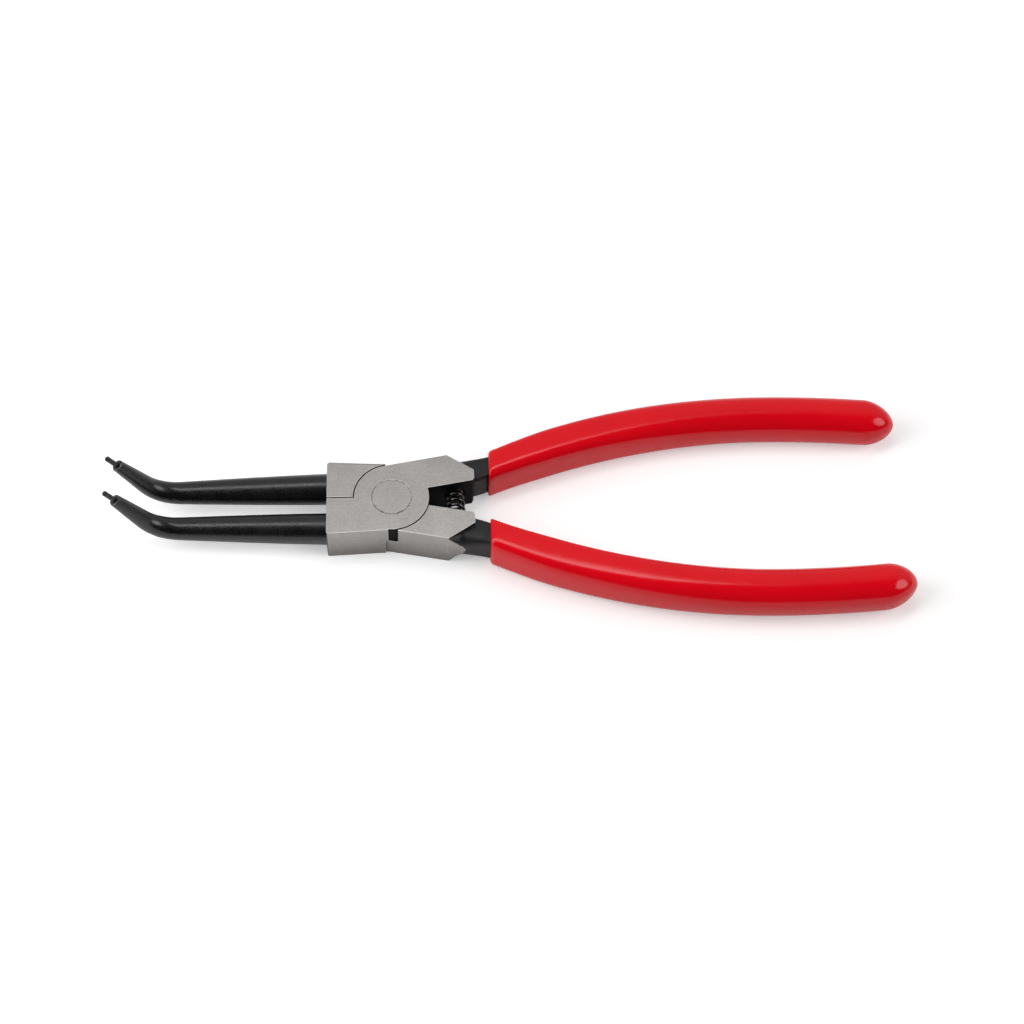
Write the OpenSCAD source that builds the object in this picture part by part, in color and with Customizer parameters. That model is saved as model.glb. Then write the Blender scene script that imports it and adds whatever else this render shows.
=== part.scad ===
// Bent-nose pliers for circlips in bores, shown closed.
// Two half-lapped levers turn on a flush rivet, and a coil spring between the handle roots opens them.
// Sizes are in millimetres. The origin is on the pivot axis, on the ground underside of the head.
// +X runs to the grips, -X to the tips, and the tips bend up to +Z.

/* [Head] */
// Thickness of the joint across its two ground faces
head_t = 10.2; // [9.2:0.1:11]
// Distance from the pivot to the front face of the jaw blocks
head_front = 14.6; // [13:0.1:18]
// Half width of the joint at its front face
front_half_w = 9.4; // [9:0.05:10.5]
// Radius of the round lap plates
plate_r = 8.45; // [8:0.05:8.6]
// Radial gap round the lap plates
plate_gap = 0.25; // [0.2:0.05:0.5]
// Gap between the two lap faces
lap_gap = 0.1; // [0.05:0.05:0.3]
// Gap between the closed jaw blocks
jaw_gap = 0.2; // [0.1:0.05:0.6]
// How far the jaw blocks stand out from the plates at the waist
waist_step = 0.2; // [0.1:0.05:0.4]
// Distance ahead of the pivot at which a jaw block ends at the stop notch
notch_front = 0.8; // [0.4:0.1:1.2]
// Width of the stop notch, which limits the opening
notch_w = 2.1; // [2.1:0.1:3]
// Distance ahead of the pivot at which the thin ends of the jaw blocks are cut off
horn_front = 1.4; // [1.4:0.1:4]

/* [Handle blocks] */
// Distance from the pivot to the outer shoulder of a handle block
shoulder_x = 12.6; // [11.5:0.1:14]
// Half width across the shoulders
shoulder_half_w = 11; // [10.6:0.1:11.4]
// Angle on the plate, from the centre line, at which the outer side of a handle block starts
side_root_a = 97; // [92:1:98]
// Distance from the pivot to the end of a handle block
block_end_x = 18.7; // [18:0.1:20]
// Distance from the centre line to the outer end corner
block_end_half_w = 7; // [6:0.1:8]
// Half gap between the handle blocks where they leave the plates
throat_half_w = 2.3; // [1.8:0.1:2.8]
// Angle of each inner face to the centre line
throat_angle = 10.7; // [8:0.1:13]
// Length of the small cut on the inner end corner
end_cut_x = 0.4; // [0.1:0.1:0.8]
// Depth of the small cut on the inner end corner
end_cut_y = 0.7; // [0.1:0.1:1.2]

/* [Jaws] */
// Length of a jaw from the head to the bend corner
jaw_straight = 38; // [30:0.1:48]
// Length of a jaw from the bend corner to the shoulder
jaw_bent = 14.8; // [12:0.1:20]
// Angle by which the jaws bend up
bend_angle = 57; // [30:1:75]
// Centre line radius of the bend
bend_r = 9; // [7:0.5:12]
// Diameter of a jaw at the head
root_d = 7.1; // [6.4:0.1:7.8]
// Diameter of a jaw in the bend
bend_d = 4.8; // [4:0.1:5.6]
// Diameter of a jaw at the shoulder
nose_d = 2.7; // [2.4:0.1:3.6]
// Fillet at the root of a jaw
root_fillet = 0.15; // [0.1:0.05:0.4]
// Rounding of the shoulder edge
nose_edge = 0.25; // [0.1:0.05:0.5]
// Ledge between the root fillet and the side of the head
jaw_ledge = 0.45; // [0:0.05:0.6]
// How far a jaw toes in from the head to the shoulder
jaw_toe = 0.75; // [0:0.05:1.2]

/* [Tip pins] */
// Diameter of a tip pin
pin_d = 1.2; // [0.9:0.05:1.5]
// Free length of a tip pin
pin_l = 3.5; // [2:0.1:5]
// Depth to which a tip pin is set in its jaw
pin_seat = 4; // [2:0.1:6]
// How much thicker the hidden shank of a tip pin is, on the radius
shank_step = 0.25; // [0.2:0.05:0.4]
// Chamfer at the end of a tip pin
pin_chamfer = 0.2; // [0.05:0.05:0.3]
// Radial clearance of a tip pin in its bore
pin_fit = 0.01; // [0.01:0.01:0.04]

/* [Pivot rivet] */
// Shank diameter of the rivet
rivet_d = 6; // [5:0.1:7]
// Diameter of the flush rivet heads
rivet_head_d = 9; // [8:0.1:10]
// Depth of the rivet heads
rivet_sink = 1.7; // [1.2:0.1:2.4]
// Height of the straight rim of the rivet heads
rivet_rim = 0.3; // [0.2:0.05:0.6]
// Running clearance round the rivet
rivet_fit = 0.04; // [0.02:0.01:0.1]

/* [Spring] */
// Distance from the pivot to the middle of the spring
spring_x = 14.6; // [14:0.1:15.4]
// Outer diameter of the coils
spring_od = 4.2; // [3.4:0.1:4.6]
// Diameter of the wire
wire_d = 0.85; // [0.6:0.05:0.9]
// Number of turns
spring_turns = 9; // [7:1:10]
// Angle round the coil at which the wire starts
spring_start = 310; // [0:1:359]
// Depth of the spring seats
seat_depth = 3; // [2.4:0.1:4]
// Radial play of the spring in its seats
seat_play = 0.3; // [0.2:0.05:0.5]
// Play between the spring ends and the floors of the seats
seat_gap = 0.05; // [0.02:0.01:0.2]

/* [Handles] */
// Distance from the pivot to the widest point of the handles
apex_x = 87; // [80:0.5:95]
// Half distance between the handles' centre lines at the widest point
apex_half_w = 23.1; // [22:0.1:25]
// Radius of the bow from the head to the widest point
bow_r = 155; // [142:1:168]
// Radius of the tail behind the widest point
tail_r = 260; // [150:5:500]
// Width of a handle where it leaves the head
neck_w = 7.9; // [7:0.1:8.4]
// Distance from the head's side to the middle of the neck
neck_set = 3.4; // [3:0.1:3.8]
// Depth of the neck below each ground face where it leaves the head
neck_step = 0.25; // [0.2:0.05:0.6]
// Length over which the neck falls to the height of the tang
neck_fillet = 3.4; // [2:0.1:5]
// Width of the tang in the grip
tang_w = 5.2; // [4.4:0.1:6]
// Thickness of the tang
tang_t = 7.6; // [6.6:0.1:8.4]
// Angle of the ground flat on the side of the neck
grind_angle = 3; // [0:0.5:5]

/* [Grips] */
// Distance from the pivot to the mouths of the grips
mouth_x = 22.1; // [21.5:0.1:26]
// Distance from the pivot to the ends of the grips
grip_end_x = 117.6; // [105:0.2:130]
// Wall of a grip on the sides of the tang
grip_side_wall = 1.05; // [0.9:0.05:2.4]
// Wall of a grip on the upper and lower faces of the tang
grip_face_wall = 1.35; // [1:0.05:2.2]
// Extra wall on the sides behind the mouth
grip_swell = 0.45; // [0:0.05:0.8]
// Distance from the mouth over which the grip swells
swell_l = 15; // [8:1:50]
// Further wall on the sides where the section grows round
round_swell = 0.85; // [0:0.05:1.2]
// Distance from the mouth over which the section grows round
round_l = 60; // [40:1:85]
// Length of the rounded end
grip_cap = 7; // [5:0.5:10]
// Wall between the end of the tang and the end of the grip
grip_end_wall = 4; // [2:0.5:8]
// Rounding at the mouth
mouth_edge = 0.6; // [0.1:0.05:0.7]
// Clearance between a tang and its grip
grip_fit = 0.03; // [0.02:0.01:0.1]

/* [Hidden] */
STEEL = [0.64, 0.63, 0.61];
BLACK = [0.1, 0.1, 0.1];
RED = [0.8, 0.05, 0.08];
round_fn = 96;
bore_fn = 48;
jaw_sides = 24;
wire_sides = 8;
coil_steps = 18;
tang_sides = 24;
grip_sides = 32;
bend_steps = 8;
neck_steps = 12;
handle_steps = 12;
over = 1;
sink = 0.03;

z_mid = head_t / 2;
far_t = z_mid + lap_gap / 2;
near_t = head_t - far_t;
waist_half_w = plate_r + waist_step;
ring_r = plate_r + plate_gap;

// Corners of the head in plan, for the handle on the +Y side
notch_back = notch_w - notch_front;
root_p = (plate_r - sink) * [cos(side_root_a), sin(side_root_a)];
outer_slope = (shoulder_half_w - root_p.y) / (shoulder_x - root_p.x);
throat_x0 = 0.7 * plate_r;

function throat_y(x) = throat_half_w + tan(throat_angle) * (x - plate_r);
function outer_y(x) = shoulder_half_w + outer_slope * (x - shoulder_x);

// Jaw path
half_bend = bend_r * tan(bend_angle / 2);
straight_l = jaw_straight - half_bend;
bent_l = jaw_bent - half_bend;
jaw_reach = jaw_straight + jaw_bent * cos(bend_angle);
jaw_rise = jaw_bent * sin(bend_angle);
jaw_y = front_half_w - jaw_ledge - root_fillet - root_d / 2;
toe_angle = atan(jaw_toe / jaw_reach);
fillet_in = 0.05;
jaw_taper = 1.3;
straight_steps = 4;
shank_r = pin_d / 2 + shank_step;

// Spring path: an arc between the inner faces, carried on straight in the seats
fan_x = plate_r - throat_half_w / tan(throat_angle);
fan_r = spring_x - fan_x;
fan_half = fan_r * throat_angle * PI / 180;
spring_half = fan_half + seat_depth - seat_gap - wire_d / 2;
coil_r = (spring_od - wire_d) / 2;
seat_r = spring_od / 2 + seat_play;
closed_pitch = 1.06 * wire_d;
free_pitch = 2 * (spring_half - closed_pitch) / (spring_turns - 2);

// Handle sections
neck_end = mouth_x + 0.2;
tang_end = grip_end_x - grip_end_wall;
tang_cap = 3;
neck_n = 2.4;
block_n = 8;
tang_n = 6;
inner_n = 8;
mouth_n = 4.2;
grip_n = 2.4;
cap_n = 2.3;
grind_end = neck_end - 3;

function bow(x) = x < apex_x ? bow_r : tail_r;
function bow_y(x) = apex_half_w - bow(x) + sqrt(pow(bow(x), 2) - pow(x - apex_x, 2));
function bow_slope(x) = (apex_x - x) / sqrt(pow(bow(x), 2) - pow(x - apex_x, 2));
function shear(x) = sqrt(1 + pow(bow_slope(x), 2));
function clamp(v) = min(1, max(0, v));
function ease(v) = v * v * (3 - 2 * v);
function mix(a, b, v) = a + (b - a) * v;

neck_shift = shoulder_half_w - neck_set - bow_y(shoulder_x);

function neck_part(x) = clamp((neck_end - x) / (neck_end - shoulder_x));
function handle_y(x) = bow_y(x) + neck_shift * pow(neck_part(x), 1.5);
function neck_blend(x) = pow(clamp((shoulder_x + neck_fillet - x) / neck_fillet), 2);
function tang_half_w(x) = mix(tang_w * shear(neck_end), neck_w, neck_part(x)) / 2;
function rounding(x) = ease(clamp((x - mouth_x) / round_l));
function swell(x) = grip_swell * ease(clamp((x - mouth_x) / swell_l)) + round_swell * rounding(x);
function cap(x, x0, l) = pow(1 - pow(clamp((x - x0) / l), cap_n), 1 / cap_n);
function sgn_pow(v, p) = sign(v) * pow(abs(v), p);

// Closed section across X: a rounded rectangle as a superellipse, with its own roundness on the outer side
function section(x, y, a, b, n_in, n_out, sides) = [
    for (i = [0 : sides - 1])
        let (t = 360 * i / sides)
        let (n = cos(t) > 0 ? n_out : n_in)
        [x, y + a * sgn_pow(cos(t), 2 / n), z_mid + b * sgn_pow(sin(t), 2 / n)]
];

// Distances at which the tang's sections stand, and the shrinking ones at its end
neck_xs = concat([shoulder_x - over], [for (i = [0 : neck_steps]) mix(shoulder_x, neck_end, i / neck_steps)]);
handle_xs = [for (i = [1 : handle_steps]) mix(neck_end, tang_end - tang_cap, i / handle_steps)];
cap_us = [0.5, 0.8, 0.95, 0.995];
tang_cap_xs = [for (u = cap_us) tang_end - tang_cap * (1 - u)];

function tang_ring(x, fit) =
    let (k = cap(x, tang_end - tang_cap, tang_cap))
    let (w = x < neck_end ? tang_half_w(x) : tang_w * shear(x) / 2)
    let (t = mix(tang_t / 2, z_mid - neck_step, neck_blend(x)))
    let (n = mix(mix(tang_n, neck_n, clamp(1.5 * neck_part(x))), block_n, neck_blend(x)))
    section(x, handle_y(x), w * k + fit, t * k + fit, inner_n, n, tang_sides);

function grip_ring(x, inset) =
    let (k = cap(x, grip_end_x - grip_cap, grip_cap))
    let (w = (tang_w / 2 + grip_side_wall + swell(x)) * shear(x) * k - inset)
    let (t = (tang_t / 2 + grip_face_wall) * k - inset)
    let (n = mix(mouth_n, grip_n, rounding(x)))
    section(x, handle_y(x), w, t, n, n, grip_sides);

tang_rings = [for (x = concat(neck_xs, handle_xs, tang_cap_xs)) tang_ring(x, 0)];
pocket_xs = concat([neck_xs[neck_steps], neck_end], handle_xs, tang_cap_xs);
pocket_rings = concat(
    [for (x = pocket_xs) tang_ring(x, grip_fit)],
    [[for (p = tang_ring(tang_end - tang_cap * (1 - cap_us[3]), grip_fit)) p + [grip_fit, 0, 0]]]
);
grip_xs = [
    for (i = [0 : handle_steps])
        mix(mouth_x + mouth_edge, grip_end_x - grip_cap, i / handle_steps)
];
grip_cap_xs = [for (u = [0.3, 0.55, 0.75, 0.88, 0.95, 0.985, 0.999]) grip_end_x - grip_cap * (1 - u)];
grip_rings = concat(
    [grip_ring(mouth_x, mouth_edge), grip_ring(mouth_x + 0.3 * mouth_edge, 0.3 * mouth_edge)],
    [for (x = concat(grip_xs, grip_cap_xs)) grip_ring(x, 0)]
);

// Jaw sections along the bent path, with the fillet at the root
function jaw_r(s) =
    let (s_bend = straight_l + bend_r * bend_angle * PI / 360)
    let (s_end = straight_l + bend_r * bend_angle * PI / 180 + bent_l)
    s < s_bend
        ? mix(root_d, bend_d, pow(max(0, s / s_bend), jaw_taper)) / 2
        : mix(bend_d, nose_d, (s - s_bend) / (s_end - s_bend)) / 2;

function jaw_ring(p, a, r) = [
    for (i = [0 : jaw_sides - 1])
        let (t = 360 * i / jaw_sides)
        p + r * (cos(t) * [sin(a), 0, cos(a)] + sin(t) * [0, 1, 0])
];

bend_l = bend_r * bend_angle * PI / 180;
function bend_p(a) = [-straight_l - bend_r * sin(a), 0, bend_r * (1 - cos(a))];
function bent_p(d) = bend_p(bend_angle) + d * [-cos(bend_angle), 0, sin(bend_angle)];
function fillet_r(u) = root_fillet * (1 - sqrt(1 - pow(1 - u, 2)));

jaw_rings = concat(
    [jaw_ring([over, 0, 0], 0, jaw_r(0) + root_fillet)],
    [
        for (u = [fillet_in, 0.2, 0.5, 1])
            jaw_ring([-u * root_fillet, 0, 0], 0, jaw_r(u * root_fillet) + fillet_r(u))
    ],
    [
        for (i = [1 : straight_steps - 1])
            let (s = straight_l * i / straight_steps)
            jaw_ring([-s, 0, 0], 0, jaw_r(s))
    ],
    [
        for (i = [0 : bend_steps])
            let (a = bend_angle * i / bend_steps)
            jaw_ring(bend_p(a), a, jaw_r(straight_l + bend_l * i / bend_steps))
    ],
    [jaw_ring(bent_p(bent_l - nose_edge), bend_angle, jaw_r(straight_l + bend_l + bent_l - nose_edge))],
    [jaw_ring(bent_p(bent_l - 0.3 * nose_edge), bend_angle, nose_d / 2 - 0.3 * nose_edge)],
    [jaw_ring(bent_p(bent_l), bend_angle, nose_d / 2 - nose_edge)]
);

// Spring wire: a helix round the path, with closed end turns
function fan_a(s) = max(-fan_half, min(fan_half, s)) / fan_r * 180 / PI;
function fan_out(s) = sign(s) * max(0, abs(s) - fan_half);
function fan_n(s) = [cos(fan_a(s)), sin(fan_a(s)), 0];
function fan_t(s) = [-sin(fan_a(s)), cos(fan_a(s)), 0];
function fan_p(s) = [fan_x, 0, z_mid] + fan_r * fan_n(s) + fan_out(s) * fan_t(s);
function helix_s(t) =
    t < 1 ? -spring_half + closed_pitch * t
    : t > spring_turns - 1 ? spring_half - closed_pitch * (spring_turns - t)
    : -spring_half + closed_pitch + free_pitch * (t - 1);
function helix_pitch(t) = t < 1 || t > spring_turns - 1 ? closed_pitch : free_pitch;
function unit(v) = v / norm(v);

function wire_ring(t) =
    let (s = helix_s(t))
    let (n = fan_n(s))
    let (z = [0, 0, 1])
    let (q = spring_start + 360 * t)
    let (e1 = cos(q) * n + sin(q) * z)
    let (turn = coil_r * 2 * PI * (cos(q) * z - sin(q) * n))
    let (along = unit(turn + helix_pitch(t) * fan_t(s)))
    let (e2 = unit(cross(along, e1)))
    let (c = fan_p(s) + coil_r * e1)
    [
        for (i = [0 : wire_sides - 1])
            let (a = 360 * i / wire_sides)
            c + wire_d / 2 * (cos(a) * cross(e2, along) + sin(a) * e2)
    ];

wire_rings = [for (i = [0 : spring_turns * coil_steps]) wire_ring(i / coil_steps)];

// Closed solid through a list of sections
module loft(rings) {
    n = len(rings[0]);
    m = len(rings);
    polyhedron(
        points = [for (r = rings) for (p = r) p],
        faces = concat(
            [[for (j = [0 : n - 1]) j]],
            [[for (j = [n - 1 : -1 : 0]) (m - 1) * n + j]],
            [
                for (i = [0 : m - 2], j = [0 : n - 1])
                    [i * n + j, (i + 1) * n + j, (i + 1) * n + (j + 1) % n]
            ],
            [
                for (i = [0 : m - 2], j = [0 : n - 1])
                    [i * n + j, (i + 1) * n + (j + 1) % n, i * n + (j + 1) % n]
            ]
        )
    );
}

// Plan of one lever's jaw block and handle block
module block_plan() {
    polygon([
        [-head_front, -jaw_gap / 2],
        [-head_front, -front_half_w],
        [-notch_front, -waist_half_w],
        [-notch_front, -plate_r / 2],
        [-plate_r / 2, -jaw_gap / 2]
    ]);
    polygon([
        root_p,
        [throat_x0, throat_y(throat_x0)],
        [block_end_x - end_cut_x, throat_y(block_end_x - end_cut_x)],
        [block_end_x, throat_y(block_end_x) + end_cut_y],
        [block_end_x, block_end_half_w],
        [shoulder_x, shoulder_half_w]
    ]);
}

// Ground head of one lever, with its plate in the upper half and room for the other plate in the lower half
module head() {
    difference() {
        union() {
            linear_extrude(height = head_t)
                block_plan();
            translate([0, 0, far_t])
                cylinder(r = plate_r, h = near_t, $fn = round_fn);
        }
        translate([0, 0, -over])
            cylinder(r = ring_r, h = far_t + over, $fn = round_fn);
        translate([-horn_front, -front_half_w - over, -over])
            cube([horn_front + notch_back, front_half_w + shoulder_half_w + 2 * over, far_t + over]);
    }
}

// Puts a piece made for the +Y side on either side of the centre line
module on_side(side) {
    mirror([0, side > 0 ? 0 : 1, 0])
        children();
}

module at_jaw(side) {
    translate([-head_front, side * jaw_y, z_mid])
        rotate([0, 0, side * toe_angle])
            children();
}

module at_nose(side) {
    at_jaw(side)
        translate([-jaw_reach, 0, jaw_rise])
            rotate([0, bend_angle - 90, 0])
                children();
}

// Spring seat, looking into the handle block
module at_seat(side) {
    translate([fan_x + fan_r * cos(throat_angle), side * fan_r * sin(throat_angle), z_mid])
        rotate([0, 0, side * throat_angle])
            rotate([-90 * side, 0, 0])
                children();
}

// Tang with the ground flat on the outer side of its neck
module tang() {
    difference() {
        loft(tang_rings);
        translate([0, -sink, -over])
            linear_extrude(height = head_t + 2 * over)
                polygon([
                    [shoulder_x - 2 * over, outer_y(shoulder_x - 2 * over)],
                    [shoulder_x, shoulder_half_w],
                    [grind_end, shoulder_half_w + tan(grind_angle) * (grind_end - shoulder_x)],
                    [grind_end, shoulder_half_w + neck_w],
                    [shoulder_x - 2 * over, shoulder_half_w + neck_w]
                ]);
    }
}

module rivet_shape(fit, ends) {
    rotate_extrude($fn = bore_fn)
        polygon([
            [0, -ends],
            [rivet_head_d / 2 + fit, -ends],
            [rivet_head_d / 2 + fit, rivet_rim],
            [rivet_d / 2 + fit, rivet_sink],
            [rivet_d / 2 + fit, head_t - rivet_sink],
            [rivet_head_d / 2 + fit, head_t - rivet_rim],
            [rivet_head_d / 2 + fit, head_t + ends],
            [0, head_t + ends]
        ]);
}

// One lever: the handle on the given side, its jaw on the other
module lever(side) {
    difference() {
        union() {
            color(STEEL)
                translate([0, 0, side > 0 ? 0 : head_t])
                    rotate([side > 0 ? 0 : 180, 0, 0])
                        head();
            color(BLACK)
                on_side(side)
                    tang();
            color(BLACK)
                at_jaw(-side)
                    loft(jaw_rings);
        }
        rivet_shape(rivet_fit, over);
        at_seat(side)
            translate([0, 0, -over])
                cylinder(r = seat_r, h = seat_depth + over, $fn = bore_fn);
        at_nose(-side)
            translate([0, 0, -pin_seat - pin_fit])
                cylinder(r = shank_r + pin_fit, h = pin_seat + over, $fn = bore_fn);
    }
}

module tip_pin(side) {
    color(BLACK)
        at_nose(side)
            rotate_extrude($fn = bore_fn)
                polygon([
                    [0, -pin_seat],
                    [shank_r, -pin_seat],
                    [shank_r, 0],
                    [pin_d / 2, 0],
                    [pin_d / 2, pin_l - pin_chamfer],
                    [pin_d / 2 - pin_chamfer, pin_l],
                    [0, pin_l]
                ]);
}

module grip(side) {
    color(RED)
        on_side(side)
            difference() {
                loft(grip_rings);
                loft(pocket_rings);
            }
}

module upper_lever() {
    lever(1);
}

module lower_lever() {
    lever(-1);
}

module upper_tip() {
    tip_pin(-1);
}

module lower_tip() {
    tip_pin(1);
}

module pivot_rivet() {
    color(STEEL)
        rivet_shape(0, 0);
}

module opening_spring() {
    color(BLACK)
        loft(wire_rings);
}

module upper_grip() {
    grip(1);
}

module lower_grip() {
    grip(-1);
}

upper_lever();
lower_lever();
upper_tip();
lower_tip();
pivot_rivet();
opening_spring();
upper_grip();
lower_grip();
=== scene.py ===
"""Bent-nose pliers for internal retaining rings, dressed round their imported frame."""

import math
from contextlib import contextmanager

import bpy
from bpy.props import FloatProperty, FloatVectorProperty, IntProperty, PointerProperty
from mathutils import Matrix, Vector


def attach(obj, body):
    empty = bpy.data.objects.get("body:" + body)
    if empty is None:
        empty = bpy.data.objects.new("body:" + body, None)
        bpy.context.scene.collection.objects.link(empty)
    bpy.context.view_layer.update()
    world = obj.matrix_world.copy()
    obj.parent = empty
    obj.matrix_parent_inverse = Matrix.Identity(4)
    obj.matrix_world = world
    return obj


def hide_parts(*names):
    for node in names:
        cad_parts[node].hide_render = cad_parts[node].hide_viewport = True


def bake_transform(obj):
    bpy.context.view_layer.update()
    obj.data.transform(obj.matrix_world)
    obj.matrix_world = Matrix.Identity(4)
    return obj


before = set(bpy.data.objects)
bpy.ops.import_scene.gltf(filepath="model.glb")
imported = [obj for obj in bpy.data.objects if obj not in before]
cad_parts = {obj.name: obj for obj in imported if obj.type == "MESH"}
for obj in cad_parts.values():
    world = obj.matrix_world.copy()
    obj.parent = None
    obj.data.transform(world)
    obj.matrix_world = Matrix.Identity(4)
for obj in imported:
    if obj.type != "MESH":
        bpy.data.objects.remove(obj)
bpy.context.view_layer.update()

bl_info = {
    "name": "Retaining-ring pliers",
    "version": (1, 0, 0),
    "blender": (4, 5, 0),
    "location": "3D View > Sidebar > Pliers",
    "description": "Models and finishes a pair of bent-nose retaining-ring pliers",
    "category": "Object",
}

MM = 0.001
HALVES = (("upper", 1), ("lower", -1))

# Head, as the frame has it, in millimetres
HEAD_T = 10.2
HEAD_FRONT = 14.6
Z_MID = HEAD_T / 2
SHOULDER_X = 12.6
SHOULDER_HALF_W = 11.0
BLOCK_END_X = 18.7
BLOCK_END_HALF_W = 7.0
FRONT_HALF_W = 9.4
PLATE_R = 8.45
RIVET_R = 4.5

# Point of the ground side flats, and its slant for each millimetre of height
FLAT_END = 16.6
FLAT_SLANT = 0.5

# Handles and grips, as the frame has them
APEX_X = 87.0
APEX_HALF_W = 23.1
BOW_R = 155.0
TAIL_R = 260.0
NECK_SET = 3.4
NECK_EASE = 1.5
NECK_N = 2.4
TANG_W = 5.2
TANG_T = 7.6
TANG_N = 6.0
TANG_INNER_N = 8.0
TANG_CAP_N = 2.3
MOUTH_X = 22.1
NECK_END = MOUTH_X + 0.2
GRIP_END_X = 117.6
TANG_END = GRIP_END_X - 4.0
TANG_CAP = 3.0
GRIP_SIDE_WALL = 1.05
GRIP_FACE_WALL = 1.35
GRIP_SWELL = 0.45
SWELL_L = 15.0
ROUND_SWELL = 0.85
ROUND_L = 60.0
MOUTH_N = 4.2
GRIP_N = 2.4
GRIP_CAP = 7.0
GRIP_FIT = 0.03

# A grip's more pointed end, and how far its skin lies inside the frame's
GRIP_END_N = 1.75
SKIN = 0.008

# Rings of points along the parts of a grip
BODY_RINGS = 90
END_RINGS = 24
LIP_RINGS = 4
POCKET_RINGS = 40
POCKET_END_RINGS = 8

# Spring, as the frame has it
THROAT_HALF_W = 2.3
THROAT_ANGLE = math.radians(10.7)
SPRING_X = 14.6
SPRING_OD = 4.2
WIRE_D = 0.85
SPRING_TURNS = 9
TURN_STEPS = 36
SPRING_START = math.radians(310)
SEAT_REACH = 3.0 - 0.05
FAN_X = PLATE_R - THROAT_HALF_W / math.tan(THROAT_ANGLE)
FAN_R = SPRING_X - FAN_X
FAN_HALF = FAN_R * THROAT_ANGLE
SPRING_HALF = FAN_HALF + SEAT_REACH - WIRE_D / 2
COIL_R = (SPRING_OD - WIRE_D) / 2
CLOSED_PITCH = 1.06 * WIRE_D
FREE_PITCH = 2 * (SPRING_HALF - CLOSED_PITCH) / (SPRING_TURNS - 2)

# Merging, in metres, and the angles that part flat, smooth and sharp
COPY_MERGE = 2e-6
GRID_MERGE = 1e-6
LEVEL_ANGLE = math.radians(0.3)
SMOOTH_ANGLE = math.radians(32)
SHARP_ANGLE = math.radians(38)
WIRE_ANGLE = math.radians(40)
CORNER_STEPS = 5
EDGE_STEPS = 2

# What tells the upright corner edges of the head, in millimetres
UPRIGHT_DRIFT = 0.01
UPRIGHT_MIN_H = 0.1
CORNER_REACH = 0.05

# What tells the faces of a lever apart, in millimetres, square metres and parts of a normal
FRONT_SLACK = 0.02
RIM_H = 0.2
RIM_TILT = 0.35
THROAT_MARGIN = 1
THROAT_TILT = 0.3
INNER_HALF_W = 7.5
BLOCK_SLACK = 0.05
LAP_SLACK = 0.06
SHOULDER_SLACK = 0.1
SIDE_TILT = 0.6
SIDE_SKEW = 0.45
UPRIGHT_TILT = 0.5
FLAT_TILT = 0.99
FLAT_MIN_AREA = 4e-6
EDGE_MAX_AREA = 1.5e-6

# Finishes of a lever, by their place in its list; the hollow one is the black with painted shade,
# for recesses
BLACK, GROUND, HOLLOW_SHADE, NECK = range(4)

# Dirt in the ring round the rivet, and the painted highlight on the broken edges of the bare steel
RING_DIRT = (0.10, 0.095, 0.09)
EDGE_HIGHLIGHT = (0.8, 0.79, 0.78)
WHITE = (1, 1, 1, 1)

# Depth of the fine grain in metal, and of the ripple in vinyl, in metres
GRAIN_H = 0.00001
RIPPLE_H = 0.00004

# Camera, in the frame's millimetres, with its lens and sensor
CAMERA_AT = (5.29, -243.49, 407.70)
CAMERA_RIGHT = (0.99885, -0.03418, 0.03390)
CAMERA_UP = (0.01180, 0.85660, 0.51586)
CAMERA_BACK = (-0.04667, -0.51486, 0.85600)
CAMERA_LENS = 72.77
SENSOR_W = 36
CLIP_START = 0.01

# Floor, in metres, and how far the camera alone sees it lifted towards white
FLOOR_AT = (0.03, 0, -0.05 * MM)
FLOOR_R = 2.5
FLOOR_SIDES = 96
FLOOR_SHADE = 0.84
FLOOR_SPECK = 0.02
LIFT_NEAR = 0.36
LIFT_FAR = 1.0
LIFT_FROM = 0.2
LIFT_TO = 0.8
# Painted light: extra lift that lightens the jaws' shadow on the floor
JAW_LIFT = 0.11
JAW_LIFT_FROM = -0.058
JAW_LIFT_TO = -0.042
MIRROR_LIFT = 0.07

# Lamps: name, place, aim, width, depth, brightness and turn
LAMPS = (
    ("strip", (-0.145, 0.05, 0.6), (-0.145, 0.05, 0.0), 0.65, 0.13, 3.5, math.radians(30)),
    ("left_box", (-0.66, -0.10, 0.46), (0.0, 0.0, 0.0), 0.7, 0.7, 2.5, 0.0),
    ("right_box", (0.74, -0.10, 0.46), (0.06, 0.0, 0.0), 0.65, 0.55, 2.2, 0.0),
)
LAMP_WATTS = 4

# Room, dim in front and brighter behind
ROOM_FRONT = 0.04
ROOM_BACK = 0.54
ROOM_FROM = 0.1
ROOM_TO = 0.6


class PliersSizes(bpy.types.PropertyGroup):
    """Sizes of the finish that don't change the pliers' own measure."""

    edge_break: FloatProperty(
        name="Edge break",
        description="Width of the broken edges of the levers",
        default=0.00012,
        min=0.00002,
        max=0.0004,
        precision=5,
        unit="LENGTH",
    )
    front_corner: FloatProperty(
        name="Front corner",
        description="Rounding of the upright corners beside the jaws",
        default=0.0005,
        min=0.0002,
        max=0.001,
        precision=5,
        unit="LENGTH",
    )
    mouth_round: FloatProperty(
        name="Mouth rounding",
        description="Rounding of the lip at the mouth of a grip",
        default=0.0006,
        min=0.0001,
        max=0.0007,
        precision=5,
        unit="LENGTH",
    )
    grip_sides: IntProperty(
        name="Grip sides",
        description="Faces round a grip",
        default=64,
        min=24,
        max=128,
    )
    wire_sides: IntProperty(
        name="Wire sides",
        description="Faces round the spring wire",
        default=12,
        min=6,
        max=24,
    )


def colour_property(name, description, default):
    """One colour that a user would change."""
    return FloatVectorProperty(
        name=name, description=description, default=default, size=3, min=0, max=1, subtype="COLOR"
    )


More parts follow.
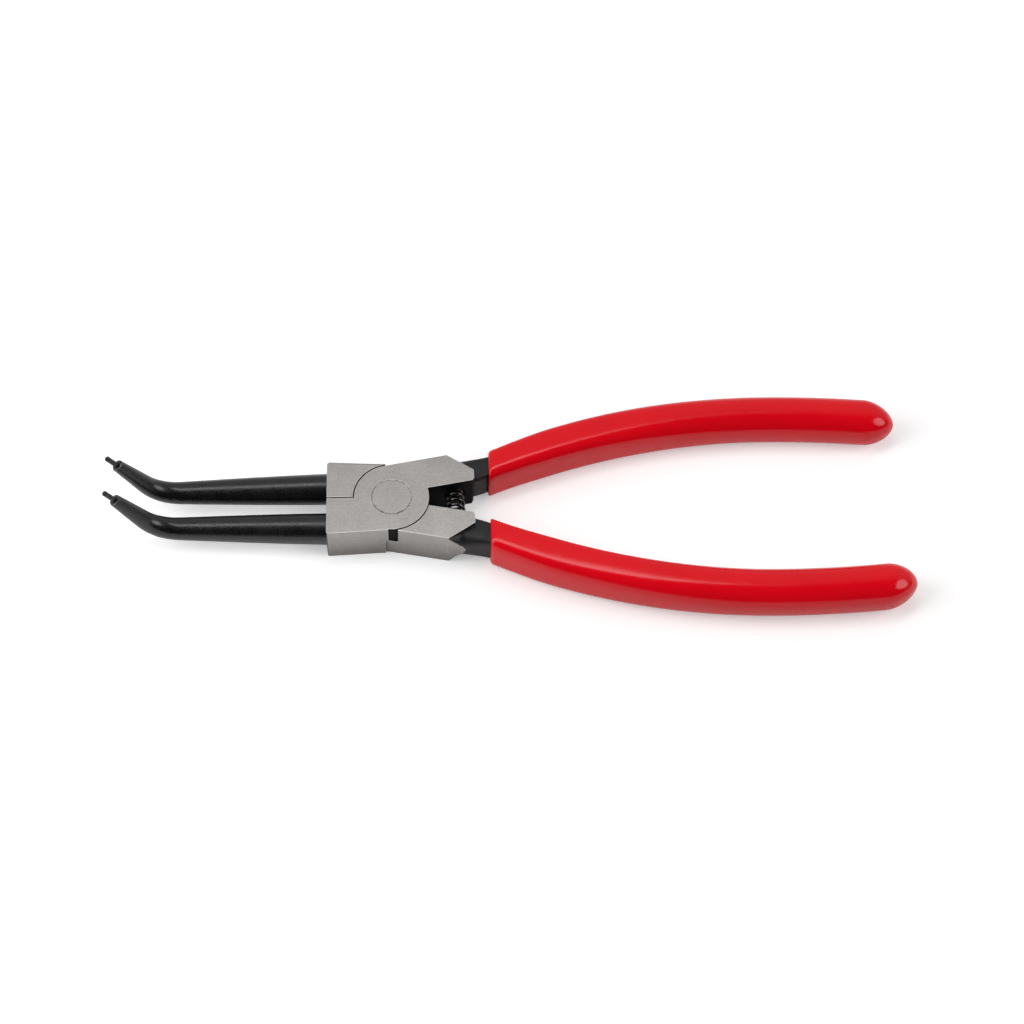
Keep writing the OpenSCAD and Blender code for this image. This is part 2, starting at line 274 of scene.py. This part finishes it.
class PliersColours(bpy.types.PropertyGroup):
    """Colours of the pliers and of the floor."""

    steel: colour_property("Ground steel", "Bare ground steel of the head", (0.445, 0.423, 0.407))
    # Painted shade for the head's upright sides
    side_shade: colour_property(
        "Painted side shade", "Painted shade at the foot of the head's sides", (0.05, 0.04, 0.03)
    )
    black: colour_property(
        "Black finish", "Phosphated jaws, necks and pins", (0.0018, 0.0016, 0.0013)
    )
    wear: colour_property("Worn edge", "Rubbed edges of the black finish", (0.10, 0.098, 0.095))
    wire: colour_property("Spring wire", "Blued wire of the spring", (0.11, 0.107, 0.10))
    vinyl: colour_property("Grip vinyl", "Dipped vinyl of the grips", (0.74, 0.0012, 0.009))
    floor: colour_property("Floor", "Pale floor", (0.9, 0.9, 0.9))


class Wire:
    """An output in a shader's node tree that takes Python's arithmetic."""

    def __init__(self, finish, socket):
        self.finish = finish
        self.socket = socket

    def work_out(self, operation, first, second):
        return self.finish.node("ShaderNodeMath", {"operation": operation}, {0: first, 1: second})

    def __add__(self, other):
        return self.work_out("ADD", self, other)

    def __radd__(self, other):
        return self.work_out("ADD", other, self)

    def __sub__(self, other):
        return self.work_out("SUBTRACT", self, other)

    def __rsub__(self, other):
        return self.work_out("SUBTRACT", other, self)

    def __mul__(self, other):
        return self.work_out("MULTIPLY", self, other)

    def __rmul__(self, other):
        return self.work_out("MULTIPLY", other, self)


class Finish:
    """A node tree under construction, for a material or the world."""

    def __init__(self, tree):
        self.tree = tree
        tree.nodes.clear()

    def node(self, kind, settings, inputs, output=0):
        """Adds a node, sets it, feeds its sockets, and returns one output."""
        made = self.tree.nodes.new(kind)
        for name, value in settings.items():
            setattr(made, name, value)
        for name, value in inputs.items():
            if isinstance(value, Wire):
                self.tree.links.new(value.socket, made.inputs[name])
            else:
                made.inputs[name].default_value = value
        return Wire(self, made.outputs[output]) if made.outputs else None

    def point(self):
        """The point on the piece."""
        return self.node("ShaderNodeTexCoord", {}, {}, "Object")

    def axis(self, vector, name):
        """One part of a vector."""
        return self.node("ShaderNodeSeparateXYZ", {}, {"Vector": vector}, name)

    def length(self, vector):
        """The length of a vector."""
        return self.node("ShaderNodeVectorMath", {"operation": "LENGTH"}, {0: vector}, "Value")

    def mark(self, name):
        """A value that each face of the piece carries."""
        return self.node("ShaderNodeAttribute", {"attribute_name": name}, {}, "Fac")

    def ray(self, name):
        """Whether the ray that sees the surface is of one kind."""
        return self.node("ShaderNodeLightPath", {}, {}, name)

    def noise(self, scale, detail=2.0, stretch=(1, 1, 1)):
        """Noise of a given fineness, in features to the metre."""
        place = self.node("ShaderNodeMapping", {}, {"Vector": self.point(), "Scale": stretch})
        return self.node(
            "ShaderNodeTexNoise", {}, {"Vector": place, "Scale": scale, "Detail": detail}, "Fac"
        )

    def span(self, value, low, high, to_low=0.0, to_high=1.0):
        """A value brought from one range to another, kept within it."""
        ends = {"From Min": low, "From Max": high, "To Min": to_low, "To Max": to_high}
        return self.node(
            "ShaderNodeMapRange", {"interpolation_type": "SMOOTHSTEP"}, {"Value": value, **ends}
        )

    def blend(self, share, first, second):
        """Two colours mixed by a share."""
        first, second = (c if isinstance(c, Wire) else (*c, 1.0) for c in (first, second))
        return self.node("ShaderNodeMix", {"data_type": "RGBA"}, {0: share, 6: first, 7: second}, 2)

    def bump(self, height, strength, distance):
        """A normal from a height."""
        return self.node(
            "ShaderNodeBump", {}, {"Height": height, "Strength": strength, "Distance": distance}
        )

    def surface(self, inputs):
        """The shader and its output."""
        shader = self.node("ShaderNodeBsdfPrincipled", {}, inputs)
        self.node("ShaderNodeOutputMaterial", {}, {"Surface": shader})


def new_finish(name):
    """An empty material and the builder of its nodes."""
    material = bpy.data.materials.new(name)
    material.use_nodes = True
    return material, Finish(material.node_tree)


def toned(colour, part):
    """A colour made darker or lighter."""
    return tuple(min(1, c * part) for c in colour)


def ground_steel():
    """Bare steel with fine lengthwise grinding lines and the broken ring of the rivet head, with
    painted shade on the head's sides and a painted highlight on its broken edges.
    """
    colours = bpy.context.scene.pliers_colours
    material, f = new_finish("ground_steel")
    lines = f.noise(1.0, 2.0, (140, 5200, 5200))
    grain = f.noise(3600, 3.0)
    patch = f.noise(160)
    tone = f.span(lines * 0.2 + grain * 0.6 + patch * 0.2, 0.36, 0.64)
    colour = f.blend(tone, toned(colours.steel, 0.84), toned(colours.steel, 1.14))

    point = f.point()
    plan = f.node("ShaderNodeVectorMath", {"operation": "MULTIPLY"}, {0: point, 1: (1, 1, 0)})
    off = f.node("ShaderNodeMath", {"operation": "ABSOLUTE"}, {0: f.length(plan) - RIVET_R * MM})
    ring = (1 - f.span(off, 0.00008, 0.0003)) * f.span(f.noise(1500, 1.0), 0.44, 0.58)
    colour = f.blend(ring * 0.75, colour, RING_DIRT)

    # Painted shade: the head's upright sides are darkened, most at their foot, where they mirror
    # the shadowed floor
    side_shade = f.mark("side_shade_mask") * f.span(f.axis(point, "Z"), 0, HEAD_T * MM, 0.5, 0.14)
    colour = f.blend(side_shade, colour, colours.side_shade)
    f.surface(
        {
            # Painted highlight: the broken edges of the bare steel are lightened
            "Base Color": f.blend(f.mark("edge_wear_and_highlight") * 0.6, colour, EDGE_HIGHLIGHT),
            "Metallic": 1.0,
            "Roughness": f.span(lines * 0.4 + grain * 0.6, 0.3, 0.7, 0.36, 0.46),
            "Normal": f.bump(lines * 0.2 + grain * 0.8, 0.3, GRAIN_H),
        }
    )
    return material


def black_phosphate(name, gloss, smooth, rough):
    """Black phosphated steel, satin and slightly grainy, rubbed on its edges."""
    colours = bpy.context.scene.pliers_colours
    material, f = new_finish(name)
    grain = f.noise(3400, 3.0)
    patch = f.noise(260)
    rub = f.mark("edge_wear_and_highlight") * f.span(f.noise(900), 0.38, 0.62)
    tone = f.span(grain * 0.6 + patch * 0.4, 0.35, 0.65)
    colour = f.blend(tone, toned(colours.black, 0.7), toned(colours.black, 1.5))
    f.surface(
        {
            "Base Color": f.blend(rub * gloss, colour, colours.wear),
            "Specular IOR Level": 0.68 * gloss,
            "Roughness": f.span(grain * 0.7 + patch * 0.3, 0.3, 0.7, smooth, rough),
            "Normal": f.bump(grain, 0.7, GRAIN_H),
        }
    )
    return material


def spring_black():
    """Oiled and blued spring wire."""
    colours = bpy.context.scene.pliers_colours
    material, f = new_finish("spring_black")
    grain = f.noise(2600)
    f.surface(
        {
            "Base Color": f.blend(
                f.span(grain, 0.35, 0.65), toned(colours.wire, 0.5), colours.wire
            ),
            "Metallic": 1.0,
            "Roughness": f.span(grain, 0.3, 0.7, 0.16, 0.26),
        }
    )
    return material


def red_vinyl():
    """Glossy dipped vinyl with a faint ripple."""
    colours = bpy.context.scene.pliers_colours
    material, f = new_finish("red_vinyl")
    ripple = f.noise(420)
    cloud = f.span(f.noise(60), 0.35, 0.65)
    f.surface(
        {
            "Base Color": f.blend(cloud, toned(colours.vinyl, 0.94), colours.vinyl),
            "Specular IOR Level": 0.33,
            "Roughness": f.span(ripple, 0.3, 0.7, 0.13, 0.19),
            "Normal": f.bump(ripple, 0.08, RIPPLE_H),
        }
    )
    return material


def pale_floor():
    """Matt pale floor, lifted to white for the camera alone, so that it keeps the shadow, save for
    painted light that thins the shadow under the jaws.
    """
    colours = bpy.context.scene.pliers_colours
    material, f = new_finish("pale_floor")
    seen = f.ray("Is Camera Ray")
    shade = seen * (1 - FLOOR_SPECK) + f.noise(90) * FLOOR_SPECK
    paper = f.node(
        "ShaderNodeBsdfPrincipled",
        {},
        {
            "Base Color": f.blend(shade, colours.floor, toned(colours.floor, FLOOR_SHADE)),
            "Roughness": 0.7,
            "Specular IOR Level": 0.1,
        },
    )
    point = f.point()
    around = f.span(f.length(point), LIFT_FROM, LIFT_TO, LIFT_NEAR, LIFT_FAR)
    # Painted light: the floor under and between the jaws is lifted further, thinning their shadow
    under_jaws = f.span(f.axis(point, "X"), JAW_LIFT_FROM, JAW_LIFT_TO, JAW_LIFT, 0.0)
    level = seen * (around + under_jaws) + f.ray("Is Glossy Ray") * MIRROR_LIFT
    lift = f.node("ShaderNodeEmission", {}, {"Color": WHITE, "Strength": level})
    both = f.node("ShaderNodeAddShader", {}, {0: paper, 1: lift})
    f.node("ShaderNodeOutputMaterial", {}, {"Surface": both})
    return material


@contextmanager
def editing(piece, kind="FACE"):
    """Edit mode on one piece alone, with everything in it selected."""
    bpy.ops.object.select_all(action="DESELECT")
    piece.select_set(True)
    bpy.context.view_layer.objects.active = piece
    bpy.ops.object.mode_set(mode="EDIT")
    bpy.ops.mesh.select_mode(type=kind)
    bpy.ops.mesh.select_all(action="SELECT")
    yield
    bpy.ops.object.mode_set(mode="OBJECT")


def merged_copy(node, name):
    """A copy of a frame node as one closed mesh with its flat parts whole."""
    piece = bpy.data.objects.new(name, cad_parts[node].data.copy())
    bpy.context.scene.collection.objects.link(piece)
    piece.data.materials.clear()
    with editing(piece):
        bpy.ops.mesh.customdata_custom_splitnormals_clear()
        bpy.ops.mesh.remove_doubles(threshold=COPY_MERGE)
        bpy.ops.mesh.dissolve_limited(angle_limit=LEVEL_ANGLE, delimit={"NORMAL"})
    return piece


def rolled_grid(name, rings):
    """A grid rolled into a closed tube through rings of points, with both ends drawn to a point."""
    along, around = len(rings) - 1, len(rings[0])
    bpy.ops.object.select_all(action="DESELECT")
    bpy.ops.mesh.primitive_grid_add(
        x_subdivisions=around, y_subdivisions=along, size=1, calc_uvs=True
    )
    piece = bpy.context.object
    piece.name = piece.data.name = name
    for vertex in piece.data.vertices:
        row, column = divmod(vertex.index, around + 1)
        vertex.co = Vector(rings[row][column % around]) * MM
    piece.matrix_world = Matrix.Identity(4)
    with editing(piece):
        bpy.ops.mesh.remove_doubles(threshold=GRID_MERGE)
        bpy.ops.mesh.normals_make_consistent(inside=False)
    bpy.ops.object.shade_smooth()
    return piece


def settle(piece, body, slot, *nodes):
    """Puts a finished piece on its body in place of the nodes that it stands for."""
    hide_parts(*nodes)
    if body:
        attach(piece, body)


def clamp(value):
    """A value kept from 0 to 1."""
    return min(1.0, max(0.0, value))


def ease(value):
    """A smooth rise from 0 to 1."""
    value = clamp(value)
    return value * value * (3 - 2 * value)


def mix(first, second, share):
    """A value between two others."""
    return first + (second - first) * share


def spread(first, last, count):
    """Evenly spaced values from first to last."""
    return [mix(first, last, i / (count - 1)) for i in range(count)]


def signed_power(value, power):
    """A power that keeps the sign."""
    return math.copysign(abs(value) ** power, value)


def bow_y(x):
    """Half the distance between the middle lines of the bowed handles."""
    r = BOW_R if x < APEX_X else TAIL_R
    return APEX_HALF_W - r + math.sqrt(r * r - (x - APEX_X) ** 2)


def bow_shear(x):
    """How much wider a handle is when cut across the tool than across itself."""
    r = BOW_R if x < APEX_X else TAIL_R
    return math.hypot(1, (APEX_X - x) / math.sqrt(r * r - (x - APEX_X) ** 2))


def neck_part(x):
    """The share of the neck in a handle: 1 at the shoulder, 0 in the grip."""
    return clamp((NECK_END - x) / (NECK_END - SHOULDER_X))


def handle_y(x):
    """The middle line of a handle, brought in to the shoulder along the neck."""
    set_in = SHOULDER_HALF_W - NECK_SET - bow_y(SHOULDER_X)
    return bow_y(x) + set_in * neck_part(x) ** NECK_EASE


def rounded_end(x, start, length, n):
    """The share of its full width that a rounded end has left."""
    return (1 - clamp((x - start) / length) ** n) ** (1 / n)


def section(x, half_w, half_t, n_in, n_out, sides, side):
    """A rounded rectangle across a handle, with its own roundness on the outer side."""
    ring = []
    for i in range(sides):
        t = 2 * math.pi * i / sides
        n = n_out if math.cos(t) > 0 else n_in
        y = handle_y(x) + half_w * signed_power(math.cos(t), 2 / n)
        ring.append((x, side * y, Z_MID + half_t * signed_power(math.sin(t), 2 / n)))
    return ring


def grip_ring(x, inset, sides, side):
    """A ring round the outside of a grip."""
    rounding = ease((x - MOUTH_X) / ROUND_L)
    swell = GRIP_SWELL * ease((x - MOUTH_X) / SWELL_L) + ROUND_SWELL * rounding
    k = rounded_end(x, GRIP_END_X - GRIP_CAP, GRIP_CAP, GRIP_END_N)
    half_w = (TANG_W / 2 + GRIP_SIDE_WALL + swell) * bow_shear(x) * k - inset
    half_t = (TANG_T / 2 + GRIP_FACE_WALL) * k - inset
    n = mix(MOUTH_N, GRIP_N, rounding)
    return section(x, max(half_w, 0), max(half_t, 0), n, n, sides, side)


def pocket_ring(x, sides, side):
    """A ring round the pocket that takes the tang."""
    k = rounded_end(x, TANG_END - TANG_CAP, TANG_CAP, TANG_CAP_N)
    half_w = TANG_W * bow_shear(max(x, NECK_END)) / 2 * k + GRIP_FIT * (k > 0)
    half_t = TANG_T / 2 * k + GRIP_FIT * (k > 0)
    n = mix(TANG_N, NECK_N, clamp(NECK_EASE * neck_part(x)))
    return section(x, half_w, half_t, TANG_INNER_N, n, sides, side)


def cap_places(start, length, count):
    """Places along a rounded end, closer together towards its tip."""
    return [start + length * math.sin(math.pi / 2 * i / count) for i in range(1, count + 1)]


def grip_rings(side):
    """Rings from the tip of a grip along its outside, round the lip and down the pocket."""
    sizes = bpy.context.scene.pliers_sizes
    sides = sizes.grip_sides
    lip = sizes.mouth_round / MM
    outside = spread(MOUTH_X + lip, GRIP_END_X - GRIP_CAP, BODY_RINGS)
    outside += cap_places(GRIP_END_X - GRIP_CAP, GRIP_CAP - SKIN, END_RINGS)
    rings = [grip_ring(outside[-1], GRIP_CAP, sides, side)]
    rings += [grip_ring(x, SKIN, sides, side) for x in reversed(outside)]
    for i in range(1, LIP_RINGS + 1):
        a = math.pi / 2 * i / LIP_RINGS
        x, inset = MOUTH_X + lip * (1 - math.sin(a)), SKIN + lip * (1 - math.cos(a))
        rings.append(grip_ring(x, inset, sides, side))
    pocket = [MOUTH_X] + spread(NECK_END, TANG_END - TANG_CAP, POCKET_RINGS)
    pocket += cap_places(TANG_END - TANG_CAP, TANG_CAP, POCKET_END_RINGS)
    return rings + [pocket_ring(x, sides, side) for x in pocket]


def spring_point(s):
    """A point on the middle line of the coils, and the directions across and along it there."""
    a = max(-FAN_HALF, min(FAN_HALF, s)) / FAN_R
    out = math.copysign(max(0, abs(s) - FAN_HALF), s)
    across = Vector((math.cos(a), math.sin(a), 0))
    along = Vector((-math.sin(a), math.cos(a), 0))
    return Vector((FAN_X, 0, Z_MID)) + FAN_R * across + out * along, across, along


def wire_ring(turn, sides, shrink=1.0):
    """A ring of points round the wire at a turn of the coil."""
    if turn < 1:
        s, pitch = -SPRING_HALF + CLOSED_PITCH * turn, CLOSED_PITCH
    elif turn > SPRING_TURNS - 1:
        s, pitch = SPRING_HALF - CLOSED_PITCH * (SPRING_TURNS - turn), CLOSED_PITCH
    else:
        s, pitch = -SPRING_HALF + CLOSED_PITCH + FREE_PITCH * (turn - 1), FREE_PITCH
    middle, across, along = spring_point(s)
    up = Vector((0, 0, 1))
    q = SPRING_START + 2 * math.pi * turn
    c, d = math.cos(q), math.sin(q)
    arm = c * across + d * up
    course = (COIL_R * 2 * math.pi * (c * up - d * across) + pitch * along).normalized()
    side = course.cross(arm).normalized()
    out = side.cross(course)
    ring = []
    for i in range(sides):
        a = 2 * math.pi * i / sides
        reach = shrink * WIRE_D / 2 * (math.cos(a) * out + math.sin(a) * side)
        ring.append(middle + COIL_R * arm + reach)
    return ring


def select_uprights(piece, corner):
    """Selects the upright edges at a corner of the head's plan, on either side."""
    points = piece.data.vertices
    for edge in piece.data.edges:
        first, second = (points[i].co / MM for i in edge.vertices)
        upright = (first - second).xy.length < UPRIGHT_DRIFT
        upright = upright and abs(first.z - second.z) > UPRIGHT_MIN_H
        off = math.hypot(first.x - corner[0], abs(first.y) - corner[1])
        edge.select = upright and off < CORNER_REACH


def outwards(face):
    """How far a face looks away from the middle of the tool."""
    return face.normal.y * math.copysign(1, face.center.y)


def is_flat(face):
    """Whether a face is the side flat that runs from the head on to a neck."""
    past_shoulder = face.center.x / MM > SHOULDER_X + SHOULDER_SLACK
    return past_shoulder and outwards(face) > FLAT_TILT and face.area > FLAT_MIN_AREA


def finish_of(face, side):
    """The place in a lever's list of the finish of a face."""
    x, y, z = face.center / MM
    up, out = face.normal.z, outwards(face)
    if x < -HEAD_FRONT - FRONT_SLACK:
        return BLACK
    if (up > RIM_TILT and z > HEAD_T - RIM_H) or (up < -RIM_TILT and z < RIM_H):
        return GROUND
    # Painted shade: the throat's inward faces take the darker, less reflective black
    in_throat = abs(y) < BLOCK_END_HALF_W - THROAT_MARGIN
    if in_throat and PLATE_R - THROAT_MARGIN < x < BLOCK_END_X and out < -THROAT_TILT:
        return HOLLOW_SHADE
    if abs(y) < INNER_HALF_W:
        return NECK if x > BLOCK_END_X - BLOCK_SLACK else BLACK
    if abs(math.hypot(x, y) - PLATE_R) < LAP_SLACK:
        # The lap walls take painted shade, save in front on the lever's own side, which is bare
        # steel
        return GROUND if y * side > 0 and x < 0 else HOLLOW_SHADE
    if x > SHOULDER_X + SHOULDER_SLACK:
        before_point = x + abs(z - Z_MID) * FLAT_SLANT < FLAT_END
        return GROUND if is_flat(face) and before_point else NECK
    return GROUND if out > SIDE_TILT and abs(face.normal.x) < SIDE_SKEW else BLACK


def mark_faces(piece, name, values):
    """Gives each face of a piece a value that its finish reads."""
    mark = piece.data.attributes.new(name, "FLOAT", "FACE")
    mark.data.foreach_set("value", [float(value) for value in values])


def break_edges(lever, sizes):
    """Rounds the front corners of a lever and breaks its sharp edges, which are marked for wear on
    the black finish and for a painted highlight on the bare steel.
    """
    with editing(lever, "EDGE"):
        bpy.ops.mesh.select_all(action="DESELECT")
        bpy.ops.object.mode_set(mode="OBJECT")
        select_uprights(lever, (-HEAD_FRONT, FRONT_HALF_W))
        bpy.ops.object.mode_set(mode="EDIT")
        bpy.ops.mesh.bevel(
            offset=sizes.front_corner, segments=CORNER_STEPS, profile=0.5, clamp_overlap=False
        )
    with editing(lever, "EDGE"):
        bpy.ops.mesh.select_all(action="DESELECT")
        bpy.ops.mesh.edges_select_sharp(sharpness=SHARP_ANGLE)
        bpy.ops.mesh.bevel(
            offset=sizes.edge_break, segments=EDGE_STEPS, profile=0.5, clamp_overlap=False
        )
        bpy.ops.mesh.select_mode(type="FACE")
    faces = lever.data.polygons
    mark_faces(lever, "edge_wear_and_highlight", [face.select and face.area < EDGE_MAX_AREA for face in faces])


def part_flats(lever):
    """Cuts the side flats of a lever along the two slants of their point."""
    for slant in (FLAT_SLANT, -FLAT_SLANT):
        with editing(lever):
            bpy.ops.mesh.select_all(action="DESELECT")
            bpy.ops.object.mode_set(mode="OBJECT")
            for face in lever.data.polygons:
                face.select = is_flat(face)
            bpy.ops.object.mode_set(mode="EDIT")
            bpy.ops.mesh.bisect(plane_co=(FLAT_END * MM, 0, Z_MID * MM), plane_no=(1, 0, slant))


class PLIERS_OT_stage(bpy.types.Operator):
    """Adds the camera, the soft lights and the pale floor"""

    bl_idname = "pliers.stage"
    bl_label = "Stage"

    def execute(self, context):
        scene = context.scene
        scene.view_settings.view_transform = "Standard"
        camera = bpy.data.objects.new("camera", bpy.data.cameras.new("camera"))
        scene.collection.objects.link(camera)
        camera.data.lens = CAMERA_LENS
        camera.data.sensor_width = SENSOR_W
        camera.data.clip_start = CLIP_START
        turn = Matrix((CAMERA_RIGHT, CAMERA_UP, CAMERA_BACK)).transposed().to_4x4()
        camera.matrix_world = Matrix.Translation(Vector(CAMERA_AT) * MM) @ turn
        scene.camera = camera

        bpy.ops.object.select_all(action="DESELECT")
        bpy.ops.mesh.primitive_circle_add(
            vertices=FLOOR_SIDES, radius=FLOOR_R, fill_type="NGON", location=FLOOR_AT
        )
        floor = context.object
        floor.name = "floor"
        floor.data.materials.append(pale_floor())

        for lamp in LAMPS:
            self.softbox(*lamp)
        self.world(scene)
        return {"FINISHED"}

    def softbox(self, name, at, towards, width, depth, level, turn):
        """A soft lamp of an even brightness: a long one is a rectangle, any other an ellipse."""
        light = bpy.data.lights.new(name, "AREA")
        light.shape = "RECTANGLE" if depth < width / 2 else "ELLIPSE"
        light.size, light.size_y = width, depth
        light.energy = LAMP_WATTS * level * width * depth
        lamp = bpy.data.objects.new(name, light)
        bpy.context.scene.collection.objects.link(lamp)
        aim = (Vector(towards) - Vector(at)).to_track_quat("-Z", "Y").to_matrix().to_4x4()
        lamp.matrix_world = Matrix.Translation(at) @ aim @ Matrix.Rotation(turn, 4, "Z")

    def world(self, scene):
        """A room that is dim in front and brighter behind, and white to the camera."""
        world = bpy.data.worlds.new("room")
        world.use_nodes = True
        scene.world = world
        f = Finish(world.node_tree)
        aim = f.node("ShaderNodeTexCoord", {}, {}, "Generated")
        level = f.span(f.axis(aim, "Y"), ROOM_FROM, ROOM_TO, ROOM_FRONT, ROOM_BACK)
        seen = f.ray("Is Camera Ray")
        strength = level * (1 - seen) + seen
        room = f.node("ShaderNodeBackground", {}, {"Color": WHITE, "Strength": strength})
        f.node("ShaderNodeOutputWorld", {}, {"Surface": room})


class PLIERS_OT_levers(bpy.types.Operator):
    """Breaks the edges of both levers and gives them their ground and black faces"""

    bl_idname = "pliers.levers"
    bl_label = "Levers"

    def execute(self, context):
        finishes = (
            black_phosphate("black_phosphate", gloss=1.0, smooth=0.22, rough=0.4),
            ground_steel(),
            # Painted shade: a darker, less reflective copy of the black for the throat and the lap
            # walls
            black_phosphate("black_hollow_shade", gloss=0.12, smooth=0.4, rough=0.6),
            black_phosphate("black_neck", gloss=0.7, smooth=0.42, rough=0.58),
        )
        for half, side in HALVES:
            lever = merged_copy(f"{half}_lever", f"{half}_lever_forging")
            break_edges(lever, context.scene.pliers_sizes)
            part_flats(lever)
            faces = lever.data.polygons
            # Marks the upright faces that take the painted side shade
            mark_faces(lever, "side_shade_mask", [abs(face.normal.z) < UPRIGHT_TILT for face in faces])
            for finish in finishes:
                lever.data.materials.append(finish)
            for face in lever.data.polygons:
                face.material_index = finish_of(face, side)
            with editing(lever):
                bpy.ops.mesh.normals_make_consistent(inside=False)
            bpy.ops.object.shade_smooth_by_angle(angle=SMOOTH_ANGLE)
            even = lever.modifiers.new("even", "WEIGHTED_NORMAL")
            even.weight = 100
            even.keep_sharp = True
            bpy.ops.object.modifier_apply(modifier=even.name)
            settle(lever, f"{half}_half", "lever_steel", f"{half}_lever")
        return {"FINISHED"}


class PLIERS_OT_tips(bpy.types.Operator):
    """Finishes both tip pins"""

    bl_idname = "pliers.tips"
    bl_label = "Tip pins"

    def execute(self, context):
        for half, _ in HALVES:
            pin = merged_copy(f"{half}_tip", f"{half}_tip_pin")
            pin.data.materials.append(bpy.data.materials["black_phosphate"])
            bpy.ops.object.shade_smooth_by_angle(angle=SMOOTH_ANGLE)
            settle(pin, f"{half}_half", "tip_steel", f"{half}_tip")
        return {"FINISHED"}


class PLIERS_OT_rivet(bpy.types.Operator):
    """Finishes the flush rivet"""

    bl_idname = "pliers.rivet"
    bl_label = "Pivot rivet"

    def execute(self, context):
        rivet = merged_copy("pivot_rivet", "pivot_rivet_ground")
        rivet.data.materials.append(bpy.data.materials["ground_steel"])
        bpy.ops.object.shade_smooth_by_angle(angle=SMOOTH_ANGLE)
        settle(rivet, "upper_half", "rivet_steel", "pivot_rivet")
        return {"FINISHED"}


class PLIERS_OT_spring(bpy.types.Operator):
    """Winds the opening spring between its seats"""

    bl_idname = "pliers.spring"
    bl_label = "Opening spring"

    def execute(self, context):
        sides = context.scene.pliers_sizes.wire_sides
        turns = spread(0, SPRING_TURNS, SPRING_TURNS * TURN_STEPS + 1)
        rings = [wire_ring(0, sides, 0)] + [wire_ring(t, sides) for t in turns]
        rings.append(wire_ring(SPRING_TURNS, sides, 0))
        spring = rolled_grid("opening_spring_wire", rings)
        bpy.ops.object.shade_smooth_by_angle(angle=WIRE_ANGLE)
        spring.data.materials.append(spring_black())
        settle(spring, None, "spring_steel", "opening_spring")
        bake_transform(spring)
        return {"FINISHED"}


class PLIERS_OT_grips(bpy.types.Operator):
    """Rolls both vinyl grips on to their tangs"""

    bl_idname = "pliers.grips"
    bl_label = "Grips"

    def execute(self, context):
        vinyl = red_vinyl()
        for half, side in HALVES:
            grip = rolled_grid(f"{half}_grip_sleeve", grip_rings(side))
            grip.data.materials.append(vinyl)
            settle(grip, f"{half}_half", "grip_vinyl", f"{half}_grip")
        return {"FINISHED"}


class PLIERS_PT_panel(bpy.types.Panel):
    """Lists the pieces of the pliers"""

    bl_idname = "PLIERS_PT_panel"
    bl_label = "Pliers"
    bl_space_type = "VIEW_3D"
    bl_region_type = "UI"
    bl_category = "Pliers"

    def draw(self, context):
        for group in (context.scene.pliers_sizes, context.scene.pliers_colours):
            for name in group.__annotations__:
                self.layout.prop(group, name)
        for operator in OPERATORS:
            self.layout.operator(operator.bl_idname)


OPERATORS = (
    PLIERS_OT_stage,
    PLIERS_OT_levers,
    PLIERS_OT_tips,
    PLIERS_OT_rivet,
    PLIERS_OT_spring,
    PLIERS_OT_grips,
)
CLASSES = (PliersSizes, PliersColours, *OPERATORS, PLIERS_PT_panel)


def register():
    for cls in CLASSES:
        bpy.utils.register_class(cls)
    bpy.types.Scene.pliers_sizes = PointerProperty(type=PliersSizes)
    bpy.types.Scene.pliers_colours = PointerProperty(type=PliersColours)


def unregister():
    del bpy.types.Scene.pliers_colours
    del bpy.types.Scene.pliers_sizes
    for cls in reversed(CLASSES):
        bpy.utils.unregister_class(cls)


def main():
    """Makes the stage and every piece."""
    register()
    bpy.ops.pliers.stage()
    bpy.ops.pliers.levers()
    bpy.ops.pliers.tips()
    bpy.ops.pliers.rivet()
    bpy.ops.pliers.spring()
    bpy.ops.pliers.grips()


if __name__ == "__main__":
    main()
